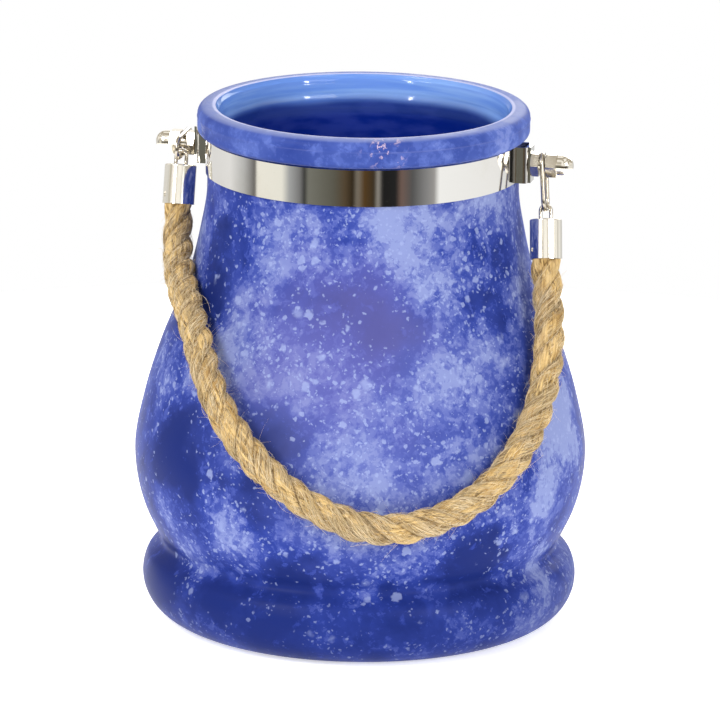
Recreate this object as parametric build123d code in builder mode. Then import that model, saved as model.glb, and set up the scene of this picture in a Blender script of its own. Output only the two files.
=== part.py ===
from build123d import *
import os
from math import cos, pi, radians, sin, tan

# Glass jar lantern with a rope handle. Millimetres, +Z up, origin at the centre of the base on
# the table. The two handle pivots lie on the X axis line, and the rope rests on the front (-Y).

# ---- Jar -------------------------------------------------------------------------------------
JAR_HEIGHT = 184.3
BELLY_R = 80.0          # widest radius of the body
BELLY_Z = 60.0
NECK_R = 54.8           # outside radius under the steel band
NECK_Z = 156.0          # the body is a plain cylinder from here up
WALL = 4.2
FLOOR = 8.0
FOOT_ROLL_R = 14.8      # section radius of the rolled foot
FOOT_ROLL_C = 62.3      # radius of the circle that the roll's centre follows
FOOT_ROLL_TURN = 117.0  # degrees of the roll that show, from the table up
BASE_RING_R = 54.0      # inner radius of the flat ring that stands on the table
BASE_DISH = 2.5         # height of the hollow under the base
BASE_DISH_MID = 2.0     # its height half way out
BODY_OUTLINE = ((70.5, 27.4), (72.6, 32.0), (76.3, 40.0), (BELLY_R, BELLY_Z), (76.6, 80.0),
                (70.4, 100.0), (62.2, 120.0), (57.1, 140.0))
INNER_OUTLINE = ((66.9, 24.0),) + tuple((r - WALL, z) for r, z in BODY_OUTLINE[2:])
INNER_FOOT_R = 58.0     # flat part of the floor
RIM_R = 58.4
RIM_Z = 174.3           # underside of the rim
RIM_ROOT_FILLET = 0.6
RIM_LOWER_FILLET = 2.2
RIM_UPPER_FILLET = 3.2
MOUTH_R = 50.6
MOUTH_LEDGE_R = 51.9    # small ledge inside the lip, left by the mould
MOUTH_LEDGE_DROP = 1.3

# ---- Steel band: two halves that meet at the pivots -------------------------------------------
BAND_T = 0.8
BAND_GAP = 0.05         # between the glass and the band
BAND_R = NECK_R + BAND_GAP + BAND_T / 2     # middle of the sheet
BAND_BOTTOM = 160.7
BAND_HEIGHT = 12.8
HINGE_Z = 167.0         # height of the two pivot bolts
EAR_HALF = 4.2          # half width of the ear, to the middle of the sheet
EAR_REACH = 60.6        # radius of the ears' outer face
EAR_BEND = 1.2
EAR_LAP = 2.95          # how far each clamped plate passes the bolt

# ---- Bolts and nuts: M5 -----------------------------------------------------------------------
BOLT_R = 2.45
BOLT_HOLE_R = 2.6
BOLT_HEAD_R = 3.0
BOLT_HEAD_H = 1.9
BOLT_SLOT = 1.0
BOLT_END = 73.0
BOLT_CHAMFER = 0.5
NUT_FLATS = 8.0
NUT_BORE_R = 2.5
JAM_NUT_T = 2.8
LINK_GAP = 2.6          # free length of bolt that the link hangs on
ACORN_HEX_H = 3.9
ACORN_LENGTH = 9.3
ACORN_DOME_R = 3.7
ACORN_BORE_SPARE = 0.3  # bore left beyond the end of the bolt
NUT_CHAMFER = 0.45

# ---- Wire links and rope caps -----------------------------------------------------------------
LINK_WIRE_R = 0.8
LINK_HALF = 3.55        # half width of the link, to the middle of the wire
LINK_CENTRES = 12.4     # between the centres of its two round ends
EYE_WIRE_R = 0.65
EYE_HALF = 1.85
EYE_LEG = 3.0           # straight part of each leg outside the cap
EYE_ROOT = 2.1          # length of each leg inside the cap
EYE_SEAT = 3.3          # from the top of the cap up to the middle of the link's wire
EYE_HOLE_GAP = 0.05
CAP_R = 5.65
CAP_LENGTH = 14.0
CAP_TOP = 2.2
CAP_BORE_R = 5.1
CAP_EDGE = 0.5
DIMPLE_R = 0.9          # punched mark that holds the rope in its cap
DIMPLE_DEPTH = 0.35
DIMPLE_RISE = 3.2       # above the open end

# ---- Rope -------------------------------------------------------------------------------------
ROPE_R = 5.0
ROPE_TUCK = 11.5        # length of rope inside each cap
LEAD = 16.5             # first and last runs, straight out of the caps
BEND_SHARE = 0.45       # share of the shorter run that a bend takes up
ROPE_ROUTE = ((-61.4, -22.1, 129.7), (-56.1, -37.0, 123.8), (-48.5, -51.6, 117.2),
              (-40.9, -66.6, 105.3), (-32.1, -77.1, 91.5), (-20.1, -83.4, 77.9),
              (-3.8, -86.1, 65.2), (13.5, -85.1, 56.5), (27.5, -81.6, 53.6),
              (42.2, -75.1, 55.3), (55.7, -65.6, 61.6), (65.6, -54.2, 71.4),
              (71.4, -41.7, 84.0), (73.2, -28.9, 98.8), (71.7, -18.2, 114.2))

# Plates, nuts and links follow each other outwards along each bolt.
JAM_NUT_FACE = EAR_REACH
LINK_X = JAM_NUT_FACE + JAM_NUT_T + LINK_GAP / 2
ACORN_FACE = JAM_NUT_FACE + JAM_NUT_T + LINK_GAP
SIDES = ((-1, "left"), (1, "right"))


def hanging(forward, outward, side):
    """Unit vector that hangs down, swung forward and outward by the angles in degrees."""
    swing = radians(forward)
    lean = radians(outward)
    return Vector(side * sin(lean), -sin(swing) * cos(lean), -cos(swing) * cos(lean))


def outward_plane(side, reach):
    """Plane across a pivot bolt, at this distance from the jar's axis, facing outwards."""
    return Plane(origin=(side * reach, 0, HINGE_Z), x_dir=(0, 1, 0), z_dir=(side, 0, 0))


def save(node, label):
    node.part.label = label
    export_step(node.part, f"parts/{label}.step")


os.makedirs("parts", exist_ok=True)

# ==== Glass jar ====
with BuildPart() as glass_jar:
    with BuildSketch(Plane.XZ):
        with BuildLine():
            dish = ThreePointArc((0, BASE_DISH), (BASE_RING_R / 2, BASE_DISH_MID), (BASE_RING_R, 0))
            ring = Line(dish @ 1, (FOOT_ROLL_C, 0))
            foot = CenterArc((FOOT_ROLL_C, FOOT_ROLL_R), FOOT_ROLL_R, -90, FOOT_ROLL_TURN)
            body = Spline((foot @ 1, *BODY_OUTLINE, (NECK_R, NECK_Z)),
                          tangents=(foot % 1, (0, 1)), tangent_scalars=(1, 1))
            lip = FilletPolyline(body @ 1, (NECK_R, RIM_Z), (RIM_R, RIM_Z), (RIM_R, JAR_HEIGHT),
                                 (MOUTH_LEDGE_R, JAR_HEIGHT),
                                 radius=(RIM_ROOT_FILLET, RIM_LOWER_FILLET, RIM_UPPER_FILLET))
            ledge = Polyline(lip @ 1, (MOUTH_LEDGE_R, JAR_HEIGHT - MOUTH_LEDGE_DROP / 2),
                             (MOUTH_R, JAR_HEIGHT - MOUTH_LEDGE_DROP), (MOUTH_R, NECK_Z))
            inside = Spline((ledge @ 1, *reversed(INNER_OUTLINE), (INNER_FOOT_R, FLOOR)),
                            tangents=((0, -1), (-1, 0)), tangent_scalars=(1, 1))
            floor = Line(inside @ 1, (0, FLOOR))
            axis_line = Line(floor @ 1, (0, BASE_DISH))
        make_face()
    revolve(axis=Axis.Z)
save(glass_jar, "glass_jar")


# ==== Steel band halves ====
def band_half(front, plate_face):
    """One half of the band; front is -1 for the front half, and its end plates face outwards
    at plate_face."""
    sheet = plate_face - BAND_T / 2
    start = Vector((BAND_R**2 - EAR_HALF**2) ** 0.5, front * EAR_HALF)
    with BuildPart() as half:
        with BuildSketch(Plane.XY.offset(BAND_BOTTOM)):
            with BuildLine():
                ThreePointArc((-start.X, start.Y), (0, front * BAND_R), start)
                for side, _ in SIDES:
                    FilletPolyline((side * start.X, start.Y), (side * sheet, start.Y),
                                   (side * sheet, -front * EAR_LAP), radius=EAR_BEND)
            trace(line_width=BAND_T)
        extrude(amount=BAND_HEIGHT)
        for side, _ in SIDES:
            with BuildSketch(outward_plane(side, BAND_R)):
                Circle(BOLT_HOLE_R)
            extrude(amount=EAR_REACH, mode=Mode.SUBTRACT)
    return half


save(band_half(-1, EAR_REACH - BAND_T), "band_front")
save(band_half(1, EAR_REACH), "band_rear")


# ==== Bolts, jam nuts and acorn nuts ====
def pivot_bolt(side):
    """Bolt whose head is inside the ear, clamped against the lapped plates."""
    seat = EAR_REACH - 2 * BAND_T
    with BuildPart() as bolt:
        with BuildSketch(outward_plane(side, seat - BOLT_HEAD_H)):
            Circle(BOLT_HEAD_R)
        extrude(amount=BOLT_HEAD_H)
        with BuildSketch(outward_plane(side, seat)):
            Circle(BOLT_R)
        extrude(amount=BOLT_END - seat)
        outward = Axis((0, 0, HINGE_Z), (side, 0, 0))
        chamfer(bolt.edges().filter_by(GeomType.CIRCLE).sort_by(outward)[-1], BOLT_CHAMFER)
        with BuildSketch(outward_plane(side, seat - BOLT_HEAD_H)):
            Rectangle(BOLT_SLOT, 2 * BOLT_HEAD_R)
        extrude(amount=BOLT_HEAD_H / 2, mode=Mode.SUBTRACT)
    return bolt


def hex_body(side, face, thickness, taper_ends):
    """Hexagonal prism with turned corners; taper_ends says which ends are turned."""
    corner = NUT_FLATS / 2 / cos(radians(30))
    low, high = taper_ends
    with BuildPart() as body:
        with BuildSketch(outward_plane(side, face)):
            RegularPolygon(radius=NUT_FLATS / 2, side_count=6, major_radius=False)
        extrude(amount=thickness)
        with BuildSketch(Plane(origin=(side * face, 0, HINGE_Z), x_dir=(side, 0, 0),
                               z_dir=(0, 1, 0))):
            with BuildLine():
                Polyline((0, 0), (0, corner - low), (low / 2, corner),
                         (thickness - high / 2, corner), (thickness, corner - high),
                         (thickness, 0), (0, 0))
            make_face()
        revolve(axis=Axis((side * face, 0, HINGE_Z), (1, 0, 0)), mode=Mode.INTERSECT)
    return body.part


def jam_nut(side):
    blank = hex_body(side, JAM_NUT_FACE, JAM_NUT_T, (NUT_CHAMFER, NUT_CHAMFER))
    with BuildPart() as nut:
        add(blank)
        with BuildSketch(outward_plane(side, JAM_NUT_FACE)):
            Circle(NUT_BORE_R)
        extrude(amount=JAM_NUT_T, mode=Mode.SUBTRACT)
    return nut


def acorn_nut(side):
    """Domed cap nut: hexagon, short collar and round dome, with a blind bore."""
    blank = hex_body(side, ACORN_FACE, ACORN_HEX_H, (NUT_CHAMFER, 2 * NUT_CHAMFER))
    collar_end = ACORN_LENGTH - ACORN_DOME_R
    with BuildPart() as nut:
        add(blank)
        with BuildSketch(Plane(origin=(side * ACORN_FACE, 0, HINGE_Z), x_dir=(side, 0, 0),
                               z_dir=(0, 1, 0))):
            with BuildLine():
                Polyline((0, 0), (0, ACORN_DOME_R), (collar_end, ACORN_DOME_R))
                CenterArc((collar_end, 0), ACORN_DOME_R, 0, 90)
                Line((ACORN_LENGTH, 0), (0, 0))
            make_face()
        revolve(axis=Axis((side * ACORN_FACE, 0, HINGE_Z), (1, 0, 0)))
        with BuildSketch(outward_plane(side, ACORN_FACE)):
            Circle(NUT_BORE_R)
        extrude(amount=BOLT_END + ACORN_BORE_SPARE - ACORN_FACE, mode=Mode.SUBTRACT)
    return nut


# ==== Wire links, caps and eyes ====
def wire_link(bolt_offset, along, centre):
    """Oblong loop of wire round a bolt. along points at its far end, and bolt_offset is how far
    the bolt stands from its near round end towards the far one."""
    normal = (Vector(1, 0, 0) - along * along.X).normalized()
    plane = Plane(origin=centre - along * bolt_offset, x_dir=normal.cross(along), z_dir=normal)
    with BuildPart() as link:
        with BuildLine(plane) as loop:
            start = Line((LINK_HALF, 0), (LINK_HALF, -LINK_CENTRES))
            CenterArc((0, -LINK_CENTRES), LINK_HALF, 0, -180)
            Line((-LINK_HALF, -LINK_CENTRES), (-LINK_HALF, 0))
            CenterArc((0, 0), LINK_HALF, 180, -180)
        with BuildSketch(Plane(origin=start @ 0, z_dir=start % 0)):
            Circle(LINK_WIRE_R)
        sweep(path=loop.wires()[0])
    return link


def cap_plane(top, axis_down):
    """Plane on top of a cap, facing up along it, with its x axis along the pivot line."""
    return Plane(origin=top, x_dir=Vector(1, 0, 0) - axis_down * axis_down.X, z_dir=-axis_down)


def cap_eye(top, axis_down):
    """Small wire staple that holds the cap to its link."""
    face = cap_plane(top, axis_down)
    upright = Plane(origin=top, x_dir=face.x_dir, z_dir=face.x_dir.cross(face.z_dir))
    with BuildPart() as eye:
        with BuildLine(upright) as staple:
            leg = Line((-EYE_HALF, -EYE_ROOT), (-EYE_HALF, EYE_LEG))
            CenterArc((0, EYE_LEG), EYE_HALF, 180, -180)
            Line((EYE_HALF, EYE_LEG), (EYE_HALF, -EYE_ROOT))
        with BuildSketch(Plane(origin=leg @ 0, z_dir=leg % 0)):
            Circle(EYE_WIRE_R)
        sweep(path=staple.wires()[0])
    return eye


def rope_cap(top, axis_down):
    """Turned cap, open below, with two holes for the eye and a punched dimple near its end."""
    face = cap_plane(top, axis_down)
    front = face.z_dir.cross(face.x_dir)
    with BuildPart() as cap:
        with BuildSketch(face):
            Circle(CAP_R)
        extrude(amount=-CAP_LENGTH)
        fillet(cap.faces().sort_by(Axis(top, -axis_down))[-1].edges(), CAP_EDGE)
        with BuildSketch(face.offset(-CAP_TOP)):
            Circle(CAP_BORE_R)
        extrude(amount=CAP_TOP - CAP_LENGTH, mode=Mode.SUBTRACT)
        with BuildSketch(face):
            with Locations((-EYE_HALF, 0), (EYE_HALF, 0)):
                Circle(EYE_WIRE_R + EYE_HOLE_GAP)
        extrude(amount=-CAP_TOP, mode=Mode.SUBTRACT)
        dimple_side = (front * -1 - face.x_dir).normalized()
        dimple = top + axis_down * (CAP_LENGTH - DIMPLE_RISE) + dimple_side * CAP_R
        with BuildSketch(Plane(origin=dimple, z_dir=dimple_side)):
            Circle(DIMPLE_R)
        extrude(amount=-DIMPLE_DEPTH, mode=Mode.SUBTRACT)
    return cap


# The right link hangs from its bolt. The left one is folded forward, and its cap's eye has slid
# up the lower wire to stand just in front of the bolt.
right_bolt_point = Vector(LINK_X, 0, HINGE_Z)
right_along = hanging(12, 6, 1)
right_axis = hanging(18, 5, 1)
right_seat = right_bolt_point + right_along * (LINK_CENTRES + LINK_HALF)

LEFT_BOLT_OFFSET = 4.2
LEFT_SLIDE = 5.3        # from the bolt to the eye, along the link
left_bolt_point = Vector(-LINK_X, 0, HINGE_Z)
left_along = hanging(88, 0, -1)
left_axis = hanging(16, -0.5, -1)
left_across = Vector(1, 0, 0).cross(left_along)
left_seat = left_bolt_point + left_along * LEFT_SLIDE + left_across * LINK_HALF

cap_tops = {}
cap_axes = {-1: left_axis, 1: right_axis}
for side, seat in ((-1, left_seat), (1, right_seat)):
    cap_tops[side] = seat + cap_axes[side] * EYE_SEAT

save(wire_link(LEFT_BOLT_OFFSET, left_along, left_bolt_point), "left_link")
save(wire_link(0, right_along, right_bolt_point), "right_link")
for side, name in SIDES:
    save(pivot_bolt(side), f"{name}_bolt")
    save(jam_nut(side), f"{name}_jam_nut")
    save(acorn_nut(side), f"{name}_acorn_nut")
    save(rope_cap(cap_tops[side], cap_axes[side]), f"{name}_cap")
    save(cap_eye(cap_tops[side], cap_axes[side]), f"{name}_cap_eye")


# ==== Rope handle ====
def cap_point(side, depth):
    return cap_tops[side] + cap_axes[side] * depth


rope_start = CAP_LENGTH - ROPE_TUCK
route = [cap_point(-1, rope_start), cap_point(-1, rope_start + LEAD)]
route += [Vector(*point) for point in ROPE_ROUTE]
route += [cap_point(1, rope_start + LEAD), cap_point(1, rope_start)]
runs = [b - a for a, b in zip(route, route[1:])]
bend_radii = []
for before, after in zip(runs, runs[1:]):
    half_turn = radians(before.get_angle(after) / 2)
    bend_radii.append(BEND_SHARE * min(before.length, after.length) / tan(half_turn))

with BuildPart() as handle_rope:
    with BuildLine() as rope_line:
        FilletPolyline(*route, radius=bend_radii)
    with BuildSketch(Plane(origin=route[0], z_dir=runs[0])):
        Circle(ROPE_R)
    sweep(path=rope_line.wires()[0])
save(handle_rope, "handle_rope")

rope_length = rope_line.wires()[0].length
rope_section = pi * ROPE_R**2
print("rope runs", [round(run.length, 1) for run in runs])
print("rope bend radii", [round(radius, 1) for radius in bend_radii])
print("rope length", round(rope_length, 1))
print("volume over section x length", round(handle_rope.part.volume / rope_section / rope_length, 4))
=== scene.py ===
from math import cos, pi, radians, sin

import bpy
import numpy as np
from mathutils import Matrix, Vector


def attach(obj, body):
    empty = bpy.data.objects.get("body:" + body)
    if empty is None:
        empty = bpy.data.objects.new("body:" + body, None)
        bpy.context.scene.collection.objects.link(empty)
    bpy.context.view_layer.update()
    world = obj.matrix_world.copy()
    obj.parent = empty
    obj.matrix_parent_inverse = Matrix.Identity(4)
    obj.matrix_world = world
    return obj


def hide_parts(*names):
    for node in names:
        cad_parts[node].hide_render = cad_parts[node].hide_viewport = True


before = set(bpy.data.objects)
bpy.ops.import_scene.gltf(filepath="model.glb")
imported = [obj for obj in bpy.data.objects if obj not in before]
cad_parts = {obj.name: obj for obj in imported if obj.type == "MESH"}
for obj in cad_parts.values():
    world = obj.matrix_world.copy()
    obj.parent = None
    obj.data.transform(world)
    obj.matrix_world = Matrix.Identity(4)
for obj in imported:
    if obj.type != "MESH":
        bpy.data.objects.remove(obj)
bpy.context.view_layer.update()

# Jar lantern: frosted blue glass, a polished band in two halves, bolts with domed nuts, wire links,
# nickel caps and a jute rope handle. Blender works in metres, +Z up, with the bolts on a line along X
# and the front at -Y. Sizes below are in millimetres unless a comment says otherwise.

MM = 0.001


# ==== Camera =====================================================================================
CAMERA_AZIMUTH = radians(13.11)     # the camera stands this far round to the right of the front
CAMERA_DISTANCE = 2.2               # from the jar's axis, on the level, in metres
CAMERA_HEIGHT = 0.6706              # in metres
CAMERA_PITCH = radians(14.74)
CAMERA_ROLL = radians(0.63)
LENS = 321.05
SENSOR = 36
CAMERA_SHIFT = -0.0016


def add_camera():
    data = bpy.data.cameras.new("camera")
    data.lens = LENS
    data.sensor_width = SENSOR
    data.shift_x = CAMERA_SHIFT
    camera = bpy.data.objects.new("camera", data)
    bpy.context.scene.collection.objects.link(camera)
    az, pitch, roll = CAMERA_AZIMUTH, CAMERA_PITCH, CAMERA_ROLL
    forward = Vector((-sin(az) * cos(pitch), cos(az) * cos(pitch), -sin(pitch)))
    right = Vector((cos(az), sin(az), 0))
    up = right.cross(forward)
    x_axis = right * cos(roll) + up * sin(roll)
    y_axis = up * cos(roll) - right * sin(roll)
    turn = Matrix((x_axis, y_axis, -forward)).transposed()
    place = Vector((CAMERA_DISTANCE * sin(az), -CAMERA_DISTANCE * cos(az), CAMERA_HEIGHT))
    camera.matrix_world = Matrix.Translation(place) @ turn.to_4x4()
    bpy.context.scene.camera = camera


add_camera()


# ==== Small helpers ==============================================================================
def new_mesh(name, vertices, faces):
    mesh = bpy.data.meshes.new(name)
    mesh.from_pydata([tuple(v) for v in vertices], [], faces)
    mesh.shade_smooth()
    piece = bpy.data.objects.new(name, mesh)
    bpy.context.scene.collection.objects.link(piece)
    return piece


def paint(piece, *materials):
    piece.data.materials.clear()
    for material in materials:
        piece.data.materials.append(material)


def rgb(red, green, blue):
    return (red, green, blue, 1.0)


def darker(colour, *shares):
    return rgb(*(part * share for part, share in zip(colour, shares)))


class Nodes:
    """The nodes of a material or of the world, with short calls for the kinds used below."""

    def __init__(self, owner, output="ShaderNodeOutputMaterial"):
        owner.use_nodes = True
        self.owner = owner
        self.tree = owner.node_tree
        self.tree.nodes.clear()
        self.output = self.node(output)

    def node(self, kind, **settings):
        made = self.tree.nodes.new(kind)
        for key, value in settings.items():
            setattr(made, key, value)
        return made

    def link(self, source, target):
        self.tree.links.new(source, target)

    def fill(self, node, inputs):
        """Set or link each named input of a node."""
        for key, value in inputs.items():
            if isinstance(value, bpy.types.NodeSocket):
                self.link(value, node.inputs[key])
            else:
                node.inputs[key].default_value = value
        return node

    def place(self, scale=(1, 1, 1)):
        where = self.node("ShaderNodeTexCoord").outputs["Object"]
        return where if scale == (1, 1, 1) else self.stretched(where, scale)

    def stretched(self, where, scale):
        mapping = self.fill(self.node("ShaderNodeMapping"), {"Vector": where, "Scale": scale})
        return mapping.outputs["Vector"]

    def height(self):
        split = self.node("ShaderNodeSeparateXYZ")
        self.link(self.place(), split.inputs[0])
        return split.outputs["Z"]

    def attribute(self, name, output="Fac"):
        return self.node("ShaderNodeAttribute", attribute_name=name).outputs[output]

    def noise(self, scale, detail=4, roughness=0.55, distortion=0.0, where=None):
        texture = self.node("ShaderNodeTexNoise")
        self.fill(texture, {"Scale": scale, "Detail": detail, "Roughness": roughness,
                            "Distortion": distortion, "Vector": where or self.place()})
        return texture.outputs["Fac"]

    def cells(self, scale, where):
        """Distance to the middle of each cell, with two random numbers that each cell has."""
        texture = self.node("ShaderNodeTexVoronoi")
        self.fill(texture, {"Scale": scale, "Vector": where})
        chance = self.node("ShaderNodeSeparateColor")
        self.link(texture.outputs["Color"], chance.inputs[0])
        return texture.outputs["Distance"], chance.outputs[0], chance.outputs[1]

    def math(self, operation, a, b=0.0):
        made = self.node("ShaderNodeMath", operation=operation)
        self.fill(made, {0: a, 1: b})
        return made.outputs[0]

    def plus(self, a, b):
        return self.math("ADD", a, b)

    def minus(self, a, b):
        return self.math("SUBTRACT", a, b)

    def times(self, a, b):
        return self.math("MULTIPLY", a, b)

    def vector(self, operation, inputs, output="Vector"):
        made = self.node("ShaderNodeVectorMath", operation=operation)
        return self.fill(made, inputs).outputs[output]

    def steps(self, value, low, high, to_low=0.0, to_high=1.0, kind="SMOOTHSTEP"):
        """From to_low at low and below to to_high at high and beyond, by default with soft ends."""
        made = self.node("ShaderNodeMapRange", interpolation_type=kind)
        self.fill(made, {"Value": value, "From Min": low, "From Max": high,
                         "To Min": to_low, "To Max": to_high})
        return made.outputs["Result"]

    def blend(self, share, a, b):
        made = self.node("ShaderNodeMix", data_type="RGBA")
        self.fill(made, {"Factor": share, 6: a, 7: b})
        return made.outputs[2]

    def ramp(self, value, stops):
        made = self.node("ShaderNodeValToRGB")
        self.link(value, made.inputs[0])
        elements = made.color_ramp.elements
        while len(elements) < len(stops):
            elements.new(0.5)
        for element, (position, colour) in zip(elements, stops):
            element.position = position
            element.color = rgb(*colour)
        return made.outputs[0]

    def bump(self, height, distance, strength=1.0, normal=None):
        made = self.fill(self.node("ShaderNodeBump"),
                         {"Height": height, "Distance": distance, "Strength": strength})
        if normal:
            self.link(normal, made.inputs["Normal"])
        return made.outputs["Normal"]

    def principled(self, **inputs):
        made = self.node("ShaderNodeBsdfPrincipled")
        names = {key.replace("_", " "): value for key, value in inputs.items()}
        return self.fill(made, names).outputs["BSDF"]

    def translucent(self, colour):
        return self.fill(self.node("ShaderNodeBsdfTranslucent"), {"Color": colour}).outputs[0]

    def mixed(self, share, a, b):
        made = self.node("ShaderNodeMixShader")
        self.fill(made, {0: share, 1: a, 2: b})
        return made.outputs[0]

    def finish(self, shader):
        self.link(shader, self.output.inputs["Surface"])
        return self.owner


def new_material(name):
    return Nodes(bpy.data.materials.new(name))


# ==== Jar outline ================================================================================
JAR_HEIGHT = 184.3
NECK_R = 54.8
NECK_Z = 156.0
WALL = 4.2
FLOOR = 8.0
FOOT_R = 14.8
FOOT_CENTRE = 62.3
FOOT_TURN = 117         # degrees of the foot's rolled edge
BASE_RING_R = 54.0
BASE_DISH = 2.5
BODY = ((70.5, 27.4), (72.6, 32.0), (76.3, 40.0), (80.0, 60.0), (76.6, 80.0), (70.4, 100.0),
        (62.2, 120.0), (57.1, 140.0))
ROOT_Z = 165.0          # where the neck runs up behind the band
ROOT_FILLET = 0.6
RIM_R = 58.4
RIM_Z = 174.3
RIM_LOWER = 2.2
RIM_UPPER = 3.2
SEAM_Z = 180.3          # fine moulding line round the rim
SEAM_RISE = 0.16
SEAM_HALF = 0.3
MOUTH_R = 50.6
LEDGE_R = 51.9
LEDGE_DROP = 1.3
# A low rounded ridge inside the neck: how far it stands in, and at which height.
RIDGE = ((0.0, 177.8), (0.04, 177.4), (0.18, 176.8), (0.36, 176.2), (0.52, 175.6), (0.6, 174.9),
         (0.54, 173.8), (0.26, 172.0), (0.05, 170.8), (0.0, 170.0), (0.0, 166.0))
AROUND = 224            # points round the jar


def arc(centre, radius, start, turn, count):
    angles = [radians(start + turn * i / count) for i in range(count + 1)]
    return [(centre[0] + radius * cos(a), centre[1] + radius * sin(a)) for a in angles]


def smooth_line(points, first, last, count):
    """Points on a smooth curve through the given points, with these end directions."""
    pts = [np.array(p, float) for p in points]
    gaps = [np.linalg.norm(b - a) for a, b in zip(pts, pts[1:])]
    slopes = [np.array(first, float)]
    for i in range(1, len(pts) - 1):
        before = (pts[i] - pts[i - 1]) / gaps[i - 1]
        after = (pts[i + 1] - pts[i]) / gaps[i]
        slopes.append((before * gaps[i] + after * gaps[i - 1]) / (gaps[i - 1] + gaps[i]))
    slopes.append(np.array(last, float))
    line = []
    for i, gap in enumerate(gaps):
        for t in np.arange(count) / count:
            a, b = pts[i], pts[i + 1]
            line.append(a * (1 + 2 * t) * (1 - t)**2 + b * t * t * (3 - 2 * t)
                        + slopes[i] * gap * t * (1 - t)**2 - slopes[i + 1] * gap * t * t * (1 - t))
    line.append(pts[-1])
    return [tuple(p) for p in line]


def outside_outline():
    """From the middle of the base, round the foot and up the outside to the top of the rim."""
    foot = arc((FOOT_CENTRE, FOOT_R), FOOT_R, -90, FOOT_TURN, 26)
    lean = radians(FOOT_TURN)
    body = smooth_line([foot[-1], *BODY, (NECK_R, NECK_Z)], (cos(lean), sin(lean)), (0, 1), 8)
    rim = arc((RIM_R - RIM_LOWER, RIM_Z + RIM_LOWER), RIM_LOWER, -90, 90, 8)
    seam = [(RIM_R, SEAM_Z - SEAM_HALF), (RIM_R + SEAM_RISE, SEAM_Z), (RIM_R, SEAM_Z + SEAM_HALF)]
    top = arc((RIM_R - RIM_UPPER, JAR_HEIGHT - RIM_UPPER), RIM_UPPER, 0, 90, 10)
    root = [(NECK_R, ROOT_Z), (NECK_R, RIM_Z - ROOT_FILLET), (NECK_R + ROOT_FILLET, RIM_Z)]
    dish = [(BASE_RING_R * (1 - t), BASE_DISH * (1 - (1 - t)**2)) for t in (1, 0.75, 0.5, 0.25)]
    return dish + [(BASE_RING_R, 0.0)] + foot + body[1:] + root + rim + seam + top


def inside_outline():
    """From the top of the rim over the ledge and down the inside to the middle of the floor."""
    groove = [(LEDGE_R + 0.5, JAR_HEIGHT), (LEDGE_R + 0.1, JAR_HEIGHT - 0.15)]
    ledge = [(LEDGE_R, JAR_HEIGHT - 0.35), (LEDGE_R, JAR_HEIGHT - LEDGE_DROP / 2),
             (MOUTH_R + 0.25, JAR_HEIGHT - LEDGE_DROP), (MOUTH_R, JAR_HEIGHT - LEDGE_DROP - 0.5)]
    ridge = [(MOUTH_R - stand, z) for stand, z in RIDGE]
    walls = [(r - WALL, z) for r, z in reversed(BODY[2:])] + [(66.9, 24.0), (58.0, FLOOR)]
    body = smooth_line([(MOUTH_R, NECK_Z), *walls], (0, -1), (-1, 0), 8)
    return groove + ledge + ridge + body + [(40.0, FLOOR), (20.0, FLOOR), (0.0, FLOOR)]


def outside_radii(heights):
    """Outside radius of the jar at these heights, in metres."""
    line = np.array([p for p in outside_outline() if p[0] > 50]) * MM
    order = np.argsort(line[:, 1], kind="stable")
    return np.interp(heights, line[order, 1], line[order, 0])


GLASS_HEIGHTS = np.linspace(0, JAR_HEIGHT * MM, 400)
GLASS_RADII = outside_radii(GLASS_HEIGHTS)


def clear_of_glass(path):
    """Whether a path of points, in metres, stays off the outside of the jar."""
    from_axis = np.hypot(path[:, 0], path[:, 1])
    return (from_axis - np.interp(path[:, 2], GLASS_HEIGHTS, GLASS_RADII)).min() > 0.15 * MM


def revolve(name, outline):
    """Closed body of revolution from an outline that starts and ends on the axis."""
    vertices, faces = [], []
    rings = outline[1:-1]
    for r, z in rings:
        for j in range(AROUND):
            turn = 2 * pi * j / AROUND
            vertices.append(Vector((r * MM * cos(turn), r * MM * sin(turn), z * MM)))
    for i in range(len(rings) - 1):
        low, high = i * AROUND, (i + 1) * AROUND
        for j in range(AROUND):
            k = (j + 1) % AROUND
            faces.append((low + j, low + k, high + k, high + j))
    first, last = len(vertices), len(vertices) + 1
    vertices += [Vector((0, 0, outline[0][1] * MM)), Vector((0, 0, outline[-1][1] * MM))]
    end = (len(rings) - 1) * AROUND
    for j in range(AROUND):
        k = (j + 1) % AROUND
        faces.append((first, k, j))
        faces.append((last, end + j, end + k))
    return new_mesh(name, vertices, faces)


# ==== Rope handle ================================================================================
LAY = 29.0              # length of one full turn of a strand
STRANDS = 3
STRAND_PATH_R = 2.35    # radius of the helix that each strand follows
STRAND_R = 2.68
YARNS = 9
STRAND_SIDES = YARNS * 5
COUNTER_TWIST = -0.36   # turn of the yarns within a strand, in radians per millimetre
POINT_GAP = 0.6         # between points along the rope
IN_CAP = 12.5           # end of the rope that its cap holds tight
SWELLS_OVER = 5.0
FUZZ = 3200
FUZZ_FROM = 16.0        # from each end
LYING_FIBRES = 5200
LYING_FROM = 14.0
ROPE_ROUTE = ((-64.41, -6.97, 157.78), (-64.27, -11.52, 141.92),
              (-61.4, -22.1, 129.7), (-56.1, -37.0, 123.8), (-48.5, -51.6, 117.2),
              (-40.9, -66.6, 105.3), (-32.1, -77.1, 91.5), (-20.1, -83.4, 77.9),
              (-3.8, -86.1, 65.2), (13.5, -85.1, 56.5), (27.5, -81.6, 53.6),
              (42.2, -75.1, 55.3), (55.7, -65.6, 61.6), (65.6, -54.2, 71.4),
              (71.4, -41.7, 84.0), (73.2, -28.9, 98.8), (71.7, -18.2, 114.2),
              (68.3, -10.2, 130.4), (66.9, -5.1, 146.0))


def distances_along(line):
    return np.concatenate([[0], np.cumsum(np.linalg.norm(np.diff(line, axis=0), axis=1))])


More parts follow.
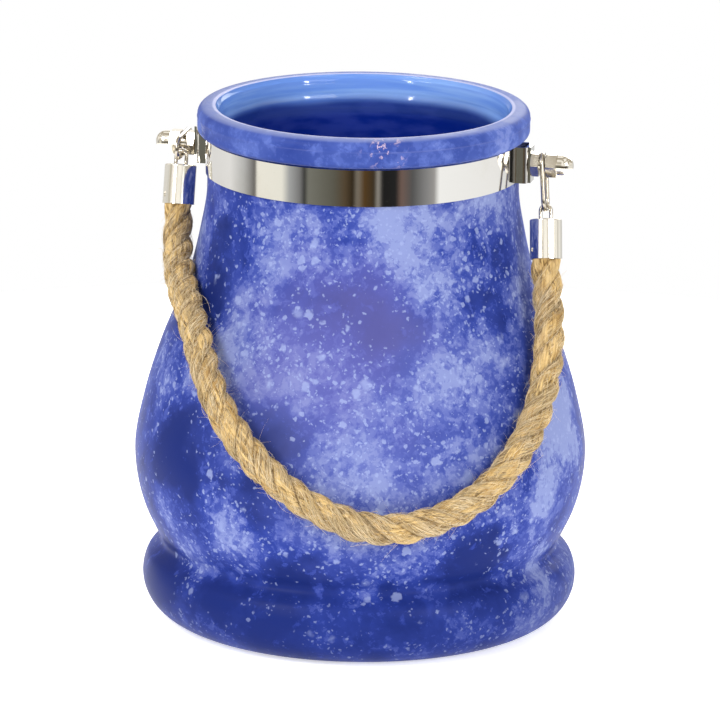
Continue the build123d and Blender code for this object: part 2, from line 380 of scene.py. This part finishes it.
def unit(vectors):
    return vectors / np.linalg.norm(vectors, axis=1)[:, None]


def rope_line():
    """Points along the rope's middle line, evenly spaced, in metres, and how far along each one is."""
    curve = bpy.data.curves.new("rope_line", "CURVE")
    curve.dimensions = "3D"
    curve.resolution_u = 24
    spline = curve.splines.new("NURBS")
    spline.points.add(len(ROPE_ROUTE) - 1)
    for point, place in zip(spline.points, ROPE_ROUTE):
        point.co = (place[0] * MM, place[1] * MM, place[2] * MM, 1)
    spline.order_u = 3
    spline.use_endpoint_u = True
    holder = bpy.data.objects.new("rope_line", curve)
    bpy.context.scene.collection.objects.link(holder)
    bpy.context.view_layer.update()
    mesh = bpy.data.meshes.new_from_object(holder)
    line = np.array([v.co for v in mesh.vertices])
    bpy.data.objects.remove(holder)
    bpy.data.meshes.remove(mesh)
    reach = distances_along(line)
    even = np.linspace(0, reach[-1], int(reach[-1] / (POINT_GAP * MM)) + 1)
    return np.stack([np.interp(even, reach, line[:, k]) for k in range(3)], 1), even


def frames_along(line):
    """Directions along and across a line, carried along it without twisting."""
    along = np.gradient(line, axis=0)
    for _ in range(3):
        along[1:-1] = (along[:-2] + along[1:-1] * 2 + along[2:]) / 4
    along = unit(along)
    across = np.zeros_like(line)
    side = np.cross(along[0], (0, 1, 0))
    for i, direction in enumerate(along):
        side = side - direction * side.dot(direction)
        side = side / np.linalg.norm(side)
        across[i] = side
    return along, across, np.cross(along, across)


def wander(count, seed, spacing):
    """Smooth random curve about 0, seeded, with a bend every so many steps."""
    draw = np.random.default_rng(seed)
    knots = draw.normal(0, 1, count // spacing + 4)
    where = np.arange(count) / spacing
    low = where.astype(int)
    t = where - low
    t = t * t * (3 - 2 * t)
    return knots[low] * (1 - t) + knots[low + 1] * t


def rope_swell(reach):
    """How much thicker the rope is than its nominal size: nothing in the caps, more just outside."""
    from_end = np.minimum(reach, reach[-1] - reach)
    free = np.clip((from_end - IN_CAP * MM) / (SWELLS_OVER * MM), 0, 1)
    return 1 + free * (0.035 + 0.025 * wander(len(reach), 5, 22))


def strand_path(line, reach, number, swell):
    """Middle line of one strand with its two directions across: away from the rope, and aside."""
    _, across, binormal = frames_along(line)
    turn = 2 * pi * (reach / (LAY * MM) + number / STRANDS)
    outward = across * np.cos(turn)[:, None] + binormal * np.sin(turn)[:, None]
    centre = line + outward * (STRAND_PATH_R * MM * swell)[:, None]
    own = unit(np.gradient(centre, axis=0))
    aside = unit(np.cross(own, outward))
    return centre, np.cross(aside, own), aside


def strand(line, reach, number, swell):
    """Points of one strand with three values at each: how far out of the grooves it lies, which the
    material uses to paint shade into the grooves, its tone, its place in fibre.
    """
    centre, outward, aside = strand_path(line, reach, number, swell)
    run = distances_along(centre)
    counter = COUNTER_TWIST / MM * run
    points, unshaded, tone, fibre = [], [], [], []
    steps = len(line)
    yarn_tone = np.array([wander(steps, 40 + number * YARNS + y, 9) for y in range(YARNS)])
    yarn_size = np.array([wander(steps, 90 + number * YARNS + y, 14) for y in range(YARNS)])
    rough = np.array([wander(steps, 300 + number * STRAND_SIDES + j, 5) for j in range(STRAND_SIDES)])
    bulge = wander(steps, 200 + number, 12)
    start = 2 * pi * np.arange(STRAND_SIDES) / STRAND_SIDES
    ridge = np.cos(YARNS * start)
    yarn = np.arange(STRAND_SIDES) * YARNS // STRAND_SIDES
    for i in range(steps):
        angles = start + counter[i]
        size = STRAND_R * MM * swell[i] * (1 + 0.035 * bulge[i])
        radius = size * (1 + 0.022 * ridge + 0.04 * yarn_size[yarn, i] + 0.03 * rough[:, i])
        points.append(centre[i] + (np.cos(angles) * radius)[:, None] * outward[i]
                      + (np.sin(angles) * radius)[:, None] * aside[i])
        # How far each point lies out of the grooves between strands and between yarns; the strand material
        # paints shade into the grooves where this is low.
        unshaded.append(np.clip(0.5 + 0.5 * np.cos(angles), 0, 1) * (0.85 + 0.15 * (ridge + 1) / 2))
        tone.append(0.5 + 0.2 * yarn_tone[yarn, i])
        fibre.append(np.stack([np.full(STRAND_SIDES, run[i] + number), STRAND_R * MM * np.cos(start),
                               STRAND_R * MM * np.sin(start)], 1))
    return [np.concatenate(part) for part in (points, unshaded, tone, fibre)]


def add_attribute(piece, name, values, kind="FLOAT", field="value"):
    attribute = piece.data.attributes.new(name, kind, "POINT")
    attribute.data.foreach_set(field, np.asarray(values, np.float32).ravel())


def make_rope(line, reach):
    swell = rope_swell(reach)
    strands = [strand(line, reach, number, swell) for number in range(STRANDS)]
    points, unshaded, tone, fibre = [np.concatenate(part) for part in zip(*strands)]
    faces = []
    rows = len(line)
    for number in range(STRANDS):
        base = number * rows * STRAND_SIDES
        for i in range(rows - 1):
            a, b = base + i * STRAND_SIDES, base + (i + 1) * STRAND_SIDES
            for j in range(STRAND_SIDES):
                k = (j + 1) % STRAND_SIDES
                faces.append((a + j, a + k, b + k, b + j))
        end = base + (rows - 1) * STRAND_SIDES
        faces.append(tuple(base + j for j in reversed(range(STRAND_SIDES))))
        faces.append(tuple(end + j for j in range(STRAND_SIDES)))
    rope = new_mesh("rope_strands", points, faces)
    add_attribute(rope, "unshaded_share", unshaded)
    add_attribute(rope, "yarn_tone", tone)
    add_attribute(rope, "fibre_place", fibre, "FLOAT_VECTOR", "vector")
    return rope


def add_hair(vertices, faces, path, side, out, thick):
    """Thin three-sided tube along a short path, tapering to its end."""
    base, steps = len(vertices), len(path) - 1
    for n, point in enumerate(path):
        size = thick * (1 - 0.6 * n / steps)
        for corner in range(3):
            angle = 2 * pi * corner / 3
            vertices.append(point + side * cos(angle) * size + out * sin(angle) * size)
    for n in range(steps):
        for corner in range(3):
            following = (corner + 1) % 3
            a, b = base + n * 3, base + (n + 1) * 3
            faces.append((a + corner, a + following, b + following, b + corner))
    faces.append((base + 2, base + 1, base))
    faces.append((base + steps * 3, base + steps * 3 + 1, base + steps * 3 + 2))


def make_fuzz(line, reach):
    """Loose fibres that stand off the rope, each a thin curved hair."""
    draw = np.random.default_rng(11)
    along, across, binormal = frames_along(line)
    steps = 7
    root_r = 4.4
    vertices, faces = [], []
    inside = FUZZ_FROM * MM
    usable = np.nonzero((reach > inside) & (reach < reach[-1] - inside))[0]
    for _ in range(FUZZ):
        i = int(draw.choice(usable))
        turn = draw.uniform(0, 2 * pi)
        out = across[i] * cos(turn) + binormal[i] * sin(turn)
        lean = along[i] * draw.choice((-1, 1))
        side = np.cross(out, lean)
        length = min(1.8 + draw.exponential(1.7), 11) * MM
        rise = draw.uniform(0.1, 0.9)
        heading = lean * cos(rise) + out * sin(rise) + side * draw.normal(0, 0.35)
        heading /= np.linalg.norm(heading)
        curl = side * draw.normal(0, 0.28) + out * draw.normal(-0.14, 0.22) + lean * draw.normal(0, 0.1)
        place = line[i] + out * root_r * MM
        path = [place]
        for _ in range(steps):
            place = place + heading * length / steps
            heading = heading + curl
            heading /= np.linalg.norm(heading)
            path.append(place)
        path = np.array(path)
        if clear_of_glass(path):
            add_hair(vertices, faces, path, side, out, draw.uniform(0.04, 0.08) * MM)
    return new_mesh("rope_fuzz", vertices, faces)


def make_lying_fibres(line, reach):
    """Fibres that lie along the strands, some with an end lifting off."""
    draw = np.random.default_rng(23)
    swell = rope_swell(reach)
    paths = [strand_path(line, reach, number, swell) for number in range(STRANDS)]
    vertices, faces, tone = [], [], []
    steps = 9
    gap = reach[1] - reach[0]
    first = int(LYING_FROM * MM / gap)
    for _ in range(LYING_FIBRES):
        centre, outward, aside = paths[int(draw.integers(STRANDS))]
        length = draw.uniform(6, 17) * MM
        stride = length / steps / gap
        start = draw.uniform(first, len(line) - first - stride * steps)
        angle = draw.uniform(-1.5, 1.5)
        drift = draw.normal(-0.02, 0.12)
        lift = abs(draw.normal(0, 0.10)) * MM
        end_lift = max(draw.normal(-0.1, 0.5), 0) * MM
        path = []
        for n in range(steps + 1):
            t = n / steps
            i = int(start + stride * n)
            off = STRAND_R * MM * swell[i] * 1.01 + lift * sin(pi * t) + end_lift * t**3
            turn = angle + drift * n + 0.03 * sin(7 * t + angle * 5)
            path.append(centre[i] + outward[i] * cos(turn) * off + aside[i] * sin(turn) * off)
        path = np.array(path)
        if clear_of_glass(path):
            before = len(vertices)
            root = int(start)
            thick = draw.uniform(0.07, 0.15) * MM
            add_hair(vertices, faces, path, aside[root], outward[root], thick)
            tone += [draw.uniform(0, 1)] * (len(vertices) - before)
    fibres = new_mesh("rope_fibres", vertices, faces)
    add_attribute(fibres, "yarn_tone", tone)
    return fibres


PALE = rgb(0.66, 0.465, 0.205)
MIDDLE = rgb(0.38, 0.24, 0.085)
DARK = rgb(0.085, 0.045, 0.014)
STRAW = rgb(0.82, 0.65, 0.37)
RUSSET = rgb(0.30, 0.155, 0.045)
FADED = rgb(0.62, 0.47, 0.25)


def jute_strands():
    m = new_material("jute_strands")
    lie = m.attribute("fibre_place", "Vector")
    fibres = m.noise(1150, 4, 0.65, where=m.stretched(lie, (0.10, 1, 1)))
    flecks = m.noise(850, 4, 0.7, where=m.stretched(lie, (0.30, 1, 1)))
    blotch = m.noise(130, 3, 0.6)
    tone = m.blend(m.steps(fibres, 0.40, 0.60), MIDDLE, PALE)
    tone = m.blend(m.steps(flecks, 0.57, 0.68, 0.0, 0.8), tone, STRAW)
    tone = m.blend(m.steps(flecks, 0.46, 0.38, 0.0, 0.85), tone, DARK)
    tone = m.blend(m.steps(blotch, 0.52, 0.72, 0.0, 0.55), tone, RUSSET)
    tone = m.blend(m.steps(m.attribute("yarn_tone"), 0.35, 0.85, 0.0, 0.45), tone, FADED)
    # Painted shade: the grooves where the strands meet and the dips between yarns are darkened towards
    # DARK.
    tone = m.blend(m.steps(m.attribute("unshaded_share"), 0.66, 0.30), tone, DARK)
    fine = m.bump(flecks, 0.25 * MM, 0.8)
    normal = m.bump(fibres, 0.45 * MM, 1.0, normal=fine)
    return m.finish(m.principled(Base_Color=tone, Roughness=0.85, Normal=normal, Specular_IOR_Level=0.2))


def jute_fuzz():
    m = new_material("jute_fuzz")
    blotch = m.noise(140, 3, 0.6)
    tone = m.blend(m.steps(blotch, 0.35, 0.65), rgb(0.82, 0.68, 0.46), rgb(0.78, 0.63, 0.40))
    return m.finish(m.principled(Base_Color=tone, Roughness=0.7))


def jute_lying_fibres():
    m = new_material("jute_lying_fibres")
    blotch = m.noise(140, 3, 0.6)
    each = m.attribute("yarn_tone")
    tone = m.blend(m.steps(blotch, 0.35, 0.65), rgb(0.56, 0.42, 0.22), rgb(0.78, 0.63, 0.40))
    tone = m.blend(m.steps(each, 0.52, 0.10, 0.0, 0.9), tone, rgb(0.16, 0.085, 0.026))
    tone = m.blend(m.steps(each, 0.6, 1.0, 0.0, 0.7), tone, rgb(0.80, 0.68, 0.46))
    return m.finish(m.principled(Base_Color=tone, Roughness=0.7))


line, reach = rope_line()
rope = make_rope(line, reach)
fuzz = make_fuzz(line, reach)
fibres = make_lying_fibres(line, reach)
paint(rope, jute_strands())
paint(fuzz, jute_fuzz())
paint(fibres, jute_lying_fibres())
for piece in (rope, fuzz, fibres):
    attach(piece, "handle")
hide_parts("handle_rope")


# ==== Glass ======================================================================================
# Clouds of frost (above 0) and clear stretches (below 0): centre, size, and how much paler.
FROST_PATCHES = (((25, -49, 151), 16, 0.22), ((32, -49, 135), 11, 0.16), ((-18, -55, 137), 11, 0.14),
                 ((-10, -54, 158), 16, 0.14), ((10, -55, 150), 20, 0.10), ((50, -22, 156), 12, 0.28),
                 ((59, -15, 125), 10, 0.26), ((-31, -58, 110), 15, 0.20), ((11, -72, 93), 15, 0.12),
                 ((31, -72, 73), 17, 0.12), ((50, -50, 103), 21, 0.24), ((74, -17, 77), 21, 0.44),
                 ((73, -31, 54), 11, 0.30), ((68, -21, 28), 9, 0.20), ((-30, -73, 48), 13, 0.16),
                 ((37, -67, 40), 10, 0.08), ((42, -57, 27), 7, 0.06), ((-79, -12, 58), 10, 0.20),
                 ((-76, -20, 40), 9, 0.14), ((-39, -42, 138), 15, -0.36), ((-42, -44, 122), 10, -0.26),
                 ((47, -31, 142), 10, -0.14), ((53, -33, 121), 12, -0.14), ((-13, -74, 86), 12, -0.10),
                 ((-52, -59, 71), 20, -0.30), ((-27, -75, 62), 12, -0.18), ((-57, -47, 22), 17, -0.28),
                 ((-36, -67, 20), 15, -0.22), ((0, -75, 19), 28, -0.26), ((31, -70, 12), 22, -0.22),
                 ((54, -51, 35), 17, -0.34), ((60, -45, 15), 18, -0.22), ((76, -11, 14), 13, -0.20),
                 ((54, -22, 179), 12, 0.30), ((-45, -37, 178), 18, -0.16), ((12, -57, 176), 14, 0.05))
HAZE = ((8, -66, 98), 52)           # where the frost is an even haze: centre and size
PURPLE = ((5, -64, 115), 34)        # where the haze is purplish
# Worn flakes on the front of the rim: centre and size.
WORN = (((20, -54.8, 182.3), 8), ((22.5, -53.9, 178.3), 5))
# Frost spots: cells per metre, widest spot in cells, share of cells filled, strength, softness.
SPOTS = ((120, 0.36, 0.34, 0.50, 0.16), (215, 0.42, 0.55, 0.64, 0.13), (450, 0.46, 0.85, 0.62, 0.13),
         (760, 0.52, 1.00, 0.58, 0.16))
# Lumps within the clouds: scale, detail, where they start and are full, and how much paler.
LUMPS = ((70, 3, 0.46, 0.62, 0.08), (170, 5, 0.49, 0.56, 0.17), (420, 4, 0.49, 0.57, 0.14))
# Colour of the glass by its tone, from clear to thickly frosted.
BODY_COLOURS = ((0.18, (0.010, 0.022, 0.150)), (0.34, (0.024, 0.046, 0.280)), (0.50, (0.060, 0.090, 0.370)),
                (0.68, (0.130, 0.165, 0.445)), (0.88, (0.225, 0.275, 0.540)))
RIM_COLOURS = ((0.18, (0.022, 0.044, 0.250)), (0.42, (0.066, 0.106, 0.390)), (0.70, (0.110, 0.165, 0.500)),
               (0.95, (0.22, 0.28, 0.62)))
RIM_STARTS = (0.172, 0.1745)        # metres up, from the body's colours to the rim's
NECK_LIGHT = rgb(0.30, 0.52, 1.0)


def near(m, centre, size, where=None):
    """1 at a place on the glass, falling to 0 beyond this size."""
    gap = m.vector("DISTANCE", {0: where or m.place(), 1: tuple(c * MM for c in centre)}, "Value")
    return m.steps(gap, size * 1.3 * MM, size * 0.25 * MM)


def warped(m, scale, push):
    """Places on the glass pushed about a little, so that spots and edges come out uneven."""
    texture = m.node("ShaderNodeTexNoise")
    m.fill(texture, {"Scale": scale, "Detail": 4, "Vector": m.place()})
    from_middle = m.vector("SUBTRACT", {0: texture.outputs["Color"], 1: (0.5, 0.5, 0.5)})
    pushed = m.vector("SCALE", {0: from_middle, "Scale": push * 2})
    return m.vector("ADD", {0: m.place(), 1: pushed})


def frost_amount(m):
    """How much frost lies on each place of the glass: about 0.2 for none and 0.8 for thick."""
    amount = m.plus(m.times(m.noise(40, 6, 0.55, 0.2), 1.1), -0.10)
    amount = m.plus(amount, m.times(m.minus(m.noise(15, 2, 0.5), 0.5), 0.5))
    ragged = warped(m, 75, 0.013)
    for centre, size, weight in FROST_PATCHES:
        amount = m.plus(amount, m.times(near(m, centre, size, ragged), weight))
    return amount


def frost_tone(m, amount):
    """The amount of frost with lumps of three sizes, denser where there is more of it."""
    tone = m.plus(m.times(amount, 0.66), 0.06)
    for scale, detail, low, high, share in LUMPS:
        lumps = m.plus(m.noise(scale, detail, 0.62, 0.3), m.times(m.minus(amount, 0.5), 0.42))
        tone = m.plus(tone, m.steps(lumps, low, high, 0.0, share))
    return tone


def spots(m, amount):
    """Cover of small splashes of frost: dense beside the clouds, few where the glass is clear."""
    where = warped(m, 420, 0.0016)
    patchy = m.times(m.minus(m.noise(60, 4, 0.65), 0.5), 0.9)
    crowd = m.steps(m.plus(amount, patchy), 0.06, 0.74)
    bare = None
    for scale, widest, filled, strength, soft in SPOTS:
        distance, which, bulk = m.cells(scale, where)
        here = m.steps(m.minus(m.times(crowd, filled), which), 0.0, 0.08)
        size = m.times(m.math("POWER", bulk, 1.5), widest)
        dot = m.steps(m.minus(size, distance), -soft * 0.4, soft)
        left_bare = m.minus(1.0, m.times(m.times(dot, here), strength))
        bare = left_bare if bare is None else m.times(bare, left_bare)
    return m.minus(1.0, bare)


def body_colour(m, tone, cover, z):
    colour = m.ramp(tone, BODY_COLOURS)
    pushed = warped(m, 40, 0.03)
    colour = m.blend(m.times(near(m, *HAZE, pushed), 0.36), colour, rgb(0.128, 0.148, 0.400))
    colour = m.blend(m.times(near(m, *PURPLE, pushed), 0.26), colour, rgb(0.160, 0.130, 0.380))
    colour = m.blend(cover, colour, rgb(0.30, 0.36, 0.62))
    return m.blend(m.steps(z, 0.036, 0.014, 0.0, 0.45), colour, rgb(0.008, 0.018, 0.12))


def rim_colour(m, tone, z):
    """The rim, with painted highlights along its top and its inner edge, and a pale painted highlight along
    the fine moulding line round it.
    """
    colour = m.ramp(tone, RIM_COLOURS)
    # Painted highlight: the top millimetre of the rim is paler, as where light falls on it.
    top = m.steps(z, (JAR_HEIGHT - 1.0) * MM, (JAR_HEIGHT - 0.1) * MM, 0.0, 0.8)
    colour = m.blend(top, colour, rgb(0.20, 0.245, 0.49))
    # Painted highlight: a pale line along the inner edge of the rim's top.
    flat = m.vector("MULTIPLY", {0: m.place(), 1: (1, 1, 0)})
    from_axis = m.vector("LENGTH", {0: flat}, "Value")
    edge = m.times(m.steps(from_axis, 0.0536, 0.0527),
                   m.steps(z, (JAR_HEIGHT - 0.4) * MM, (JAR_HEIGHT - 0.1) * MM))
    colour = m.blend(m.times(edge, 0.8), colour, rgb(0.52, 0.55, 0.80))
    # Painted highlight: a pale broken line along the moulding seam.
    from_seam = m.math("ABSOLUTE", m.minus(z, SEAM_Z * MM))
    seam = m.times(m.steps(from_seam, SEAM_HALF * MM, 0.0001),
                   m.steps(m.noise(30, 2), 0.4, 0.6, 0.03, 0.3))
    return m.blend(seam, colour, rgb(0.20, 0.22, 0.46))


def worn_flakes(m):
    wisps = m.math("ABSOLUTE", m.minus(m.noise(190, 5, 0.6, 1.0), 0.5))
    places = m.math("MAXIMUM", *(near(m, centre, size) for centre, size in WORN))
    broken = m.steps(m.noise(240, 2), 0.42, 0.50)
    return m.times(m.times(m.steps(wisps, 0.022, 0.010), places), broken)


def frosted_blue():
    m = new_material("frosted_blue")
    z = m.height()
    amount = frost_amount(m)
    tone = frost_tone(m, amount)
    cover = spots(m, amount)
    on_rim = m.steps(z, *RIM_STARTS)
    colour = m.blend(on_rim, body_colour(m, tone, cover, z), rim_colour(m, tone, z))
    colour = m.blend(worn_flakes(m), colour, rgb(0.58, 0.45, 0.56))
    pits = m.bump(m.noise(900, 4, 0.6), 0.05 * MM, 0.5)
    normal = m.bump(m.plus(tone, cover), 0.07 * MM, 0.5, normal=pits)
    surface = m.principled(Base_Color=colour, Roughness=m.steps(tone, 0.3, 0.7, 0.36, 0.60),
                           Normal=normal, IOR=1.5, Specular_IOR_Level=0.05)
    through = m.translucent(m.blend(on_rim, rgb(0.03, 0.07, 0.45), rgb(0.30, 0.48, 0.95)))
    return m.finish(m.mixed(m.steps(z, *RIM_STARTS, 0.06, 0.14), surface, through))


def inner_glass():
    """Glossy inside: bright blue where light comes through the rim, deep blue below it, painted lighter and
    purplish low down where light from the front falls in.
    """
    m = new_material("inner_glass")
    z = m.height()
    height = m.plus(z, m.times(m.noise(14, 2), 0.009))
    on_rim = m.plus(m.times(m.steps(height, 0.1774, 0.1832), 0.94),
                    m.times(m.steps(height, 0.1725, 0.1765), 0.06))
    rings = m.noise(330, 3, 0.55, 0.15, where=m.place((0.05, 0.05, 1)))
    streaks = m.noise(60, 4, 0.5, where=m.place((1, 1, 3)))
    tint = m.blend(m.steps(streaks, 0.4, 0.6), rgb(0.002, 0.014, 0.185), rgb(0.014, 0.030, 0.230))
    # Painted light: the lower inside is lighter and purplish, where light from the front falls in.
    tint = m.blend(m.steps(z, 0.150, 0.095), tint, rgb(0.060, 0.070, 0.210))
    # Painted light: the base colour itself is bright blue in the band where light comes through the rim,
    # besides the translucent share.
    bright = m.blend(m.steps(rings, 0.38, 0.62), rgb(0.17, 0.35, 0.90), NECK_LIGHT)
    tint = m.blend(on_rim, tint, bright)
    waves = m.bump(m.noise(35, 2, 0.5), 0.25 * MM, 0.4)
    ripple = m.bump(rings, 0.35 * MM, 0.5, normal=waves)
    surface = m.principled(Base_Color=tint, Roughness=m.steps(streaks, 0.3, 0.7, 0.04, 0.09),
                           Normal=ripple, IOR=1.52, Specular_IOR_Level=0.35)
    share = m.plus(m.times(on_rim, 0.29), 0.06)
    return m.finish(m.mixed(share, surface, m.translucent(NECK_LIGHT)))


def make_jar():
    outside, inside = outside_outline(), inside_outline()
    jar = revolve("jar_glass", outside + inside)
    paint(jar, frosted_blue(), inner_glass())
    for face in jar.data.polygons:
        if min(face.vertices) // AROUND >= len(outside):
            face.material_index = 1
    return jar


jar = make_jar()
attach(jar, "jar")
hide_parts("glass_jar")


# ==== Metal ======================================================================================
def metal(name, colour, rough, scratch_scale, scratches=(1, 1, 1)):
    """Polished or plated metal with smears, where it is duller, and fine scratches."""
    m = new_material(name)
    lines = m.noise(scratch_scale, 5, 0.7, where=m.place(scratches))
    smear = m.noise(45, 4, 0.6)
    tone = m.blend(m.steps(smear, 0.45, 0.75, 0.0, 0.35), colour, darker(colour, 0.86, 0.84, 0.78))
    shader = m.principled(Base_Color=tone, Metallic=1.0, Normal=m.bump(lines, 0.008 * MM, 0.35),
                          Roughness=m.steps(smear, 0.35, 0.7, rough, rough * 1.9))
    return m.finish(shader)


band_steel = metal("band_steel", rgb(0.86, 0.85, 0.83), 0.035, 700, (1, 1, 8))
hardware_plate = metal("hardware_plate", rgb(0.78, 0.74, 0.66), 0.10, 900)
wire_plate = metal("wire_plate", rgb(0.50, 0.455, 0.385), 0.14, 1100)
cap_plate = metal("cap_plate", rgb(0.84, 0.81, 0.74), 0.11, 800, (1, 1, 6))
FINISHES = {"band": band_steel, "bolt": hardware_plate, "nut": hardware_plate, "link": wire_plate,
            "eye": wire_plate, "cap": cap_plate}
for name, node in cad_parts.items():
    if name not in ("glass_jar", "handle_rope"):
        words = name.split("_")
        paint(node, FINISHES["band" if words[0] == "band" else words[-1]])


# ==== Floor, light and surroundings ==============================================================
FLOOR_RINGS = 24
FLOOR_SIDES = 96
FLOOR_STEP = 0.02       # metres from one ring to the next
WHITE = rgb(1, 1, 1)
# Colour of the surroundings near the horizon, by the angle round from the front towards +X.
SURROUNDINGS = ((-180, 0.95, 0.95, 0.96), (-128, 0.80, 0.79, 0.77), (-100, 0.86, 0.85, 0.83),
                (-84, 0.55, 0.55, 0.54), (-72, 0.14, 0.13, 0.12), (-70, 0.95, 0.92, 0.82),
                (-48, 0.92, 0.90, 0.80), (-42, 0.42, 0.43, 0.43), (-33, 0.20, 0.20, 0.20),
                (-30, 0.03, 0.03, 0.03), (-27, 0.20, 0.20, 0.17), (-8, 0.12, 0.115, 0.09),
                (0, 0.10, 0.07, 0.04), (6, 0.03, 0.02, 0.01), (9, 0.22, 0.19, 0.15),
                (14, 0.10, 0.055, 0.02), (21, 0.05, 0.035, 0.02), (24, 0.30, 0.28, 0.25),
                (27, 0.015, 0.015, 0.015), (37, 0.02, 0.02, 0.02), (41, 0.18, 0.12, 0.10),
                (49, 0.10, 0.10, 0.10), (60, 0.26, 0.26, 0.26), (66, 0.36, 0.35, 0.34),
                (70, 1.0, 1.0, 0.98), (128, 0.93, 0.92, 0.90), (150, 0.7, 0.7, 0.69))
# Lamps: place, height of the point on the axis that they aim at, size and power, in metres and watts.
LAMPS = {"key": ((-0.9, -1.3, 1.3), 0.1, (0.7, 0.7), 20),
         "fill": ((1.2, -1.0, 0.9), 0.1, (0.8, 0.8), 10),
         "back": ((0.2, 1.4, 0.8), 0.12, (1.2, 0.8), 12),
         "spark_right": ((1.75, -0.95, 0.72), 0.17, (0.14, 0.10), 5),
         "spark_left": ((-0.86, -1.80, 0.72), 0.17, (0.12, 0.10), 5)}


def add_floor():
    vertices = []
    for ring in range(1, FLOOR_RINGS + 1):
        for j in range(FLOOR_SIDES):
            turn = 2 * pi * j / FLOOR_SIDES
            vertices.append((FLOOR_STEP * ring * cos(turn), FLOOR_STEP * ring * sin(turn), 0))
    faces = [tuple(range(FLOOR_SIDES))]
    for i in range(FLOOR_RINGS - 1):
        a, b = i * FLOOR_SIDES, (i + 1) * FLOOR_SIDES
        for j in range(FLOOR_SIDES):
            k = (j + 1) % FLOOR_SIDES
            faces.append((a + j, a + k, b + k, b + j))
    floor = new_mesh("floor", vertices, faces)
    m = new_material("floor_white")
    glow = m.fill(m.node("ShaderNodeEmission"), {"Strength": 0.55}).outputs[0]
    white = m.principled(Base_Color=rgb(0.9, 0.9, 0.9), Roughness=0.8)
    paint(floor, m.finish(m.fill(m.node("ShaderNodeAddShader"), {0: glow, 1: white}).outputs[0]))


def add_light(name, place, aim_height, size, power):
    data = bpy.data.lights.new(name, "AREA")
    data.shape = "RECTANGLE"
    data.size, data.size_y = size
    data.energy = power
    lamp = bpy.data.objects.new(name, data)
    lamp.location = place
    aim = Vector((0, 0, aim_height)) - Vector(place)
    lamp.rotation_euler = aim.to_track_quat("-Z", "Y").to_euler()
    bpy.context.scene.collection.objects.link(lamp)


def add_world():
    """Surroundings that the metal and glass reflect. The background itself shows plain white."""
    m = Nodes(bpy.data.worlds.new("studio"), "ShaderNodeOutputWorld")
    where = m.node("ShaderNodeTexCoord").outputs["Generated"]
    parts = m.fill(m.node("ShaderNodeSeparateXYZ"), {0: where}).outputs
    angle = m.math("ARCTAN2", parts["X"], m.times(parts["Y"], -1))
    round_share = m.steps(angle, -pi, pi, kind="LINEAR")
    level = m.ramp(round_share, [((degrees + 180) / 360, colour) for degrees, *colour in SURROUNDINGS])
    cloud = m.steps(m.noise(2.6, 1, 0.5, where=where), 0.47, 0.53, kind="LINEAR")
    sky = m.blend(cloud, rgb(0.50, 0.45, 0.37), rgb(1.15, 1.13, 1.08))
    around = m.blend(m.steps(parts["Z"], -0.05, 0.22, kind="LINEAR"), level, sky)
    seen = m.node("ShaderNodeLightPath").outputs["Is Camera Ray"]
    background = m.fill(m.node("ShaderNodeBackground"), {0: m.blend(seen, around, WHITE), 1: 1.0})
    bpy.context.scene.world = m.finish(background.outputs[0])


add_floor()
add_world()
for name, (place, aim_height, size, power) in LAMPS.items():
    add_light(name, place, aim_height, size, power)
bpy.context.scene.view_settings.view_transform = "Standard"
